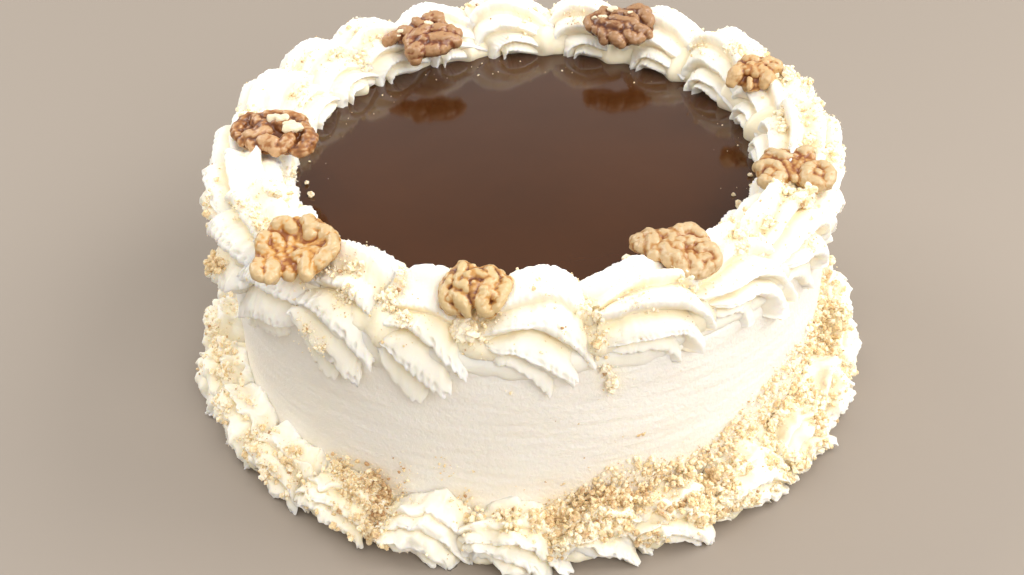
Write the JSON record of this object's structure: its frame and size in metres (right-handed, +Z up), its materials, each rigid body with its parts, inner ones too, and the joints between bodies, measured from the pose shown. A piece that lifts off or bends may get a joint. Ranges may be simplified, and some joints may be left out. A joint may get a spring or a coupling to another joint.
{
  "type": "round chocolate cake",
  "caption": "Round tall cream-covered cake with a glossy dark chocolate top, piped cream borders round the top edge and the foot, walnut halves and chopped nuts.",
  "frame": {"origin": "on the cake's axis at the level it rests on", "axes": "+Z up along the cake's axis, -Y towards the side the picture shows"},
  "size_m": [0.2936, 0.2942, 0.117],
  "materials": {
    "side_cream": null,
    "glaze": null,
    "cream": null,
    "walnut": null
  },
  "bodies": {
    "root": {"cake_body": "side_cream", "glaze_disc": "glaze", "top_border": "cream", "foot_border": "cream", "walnut_1": "walnut", "walnut_2": "walnut", "walnut_3": "walnut", "walnut_4": "walnut", "walnut_5": "walnut", "walnut_6": "walnut", "walnut_7": "walnut", "walnut_8": "walnut"}
  },
  "joints": []
}
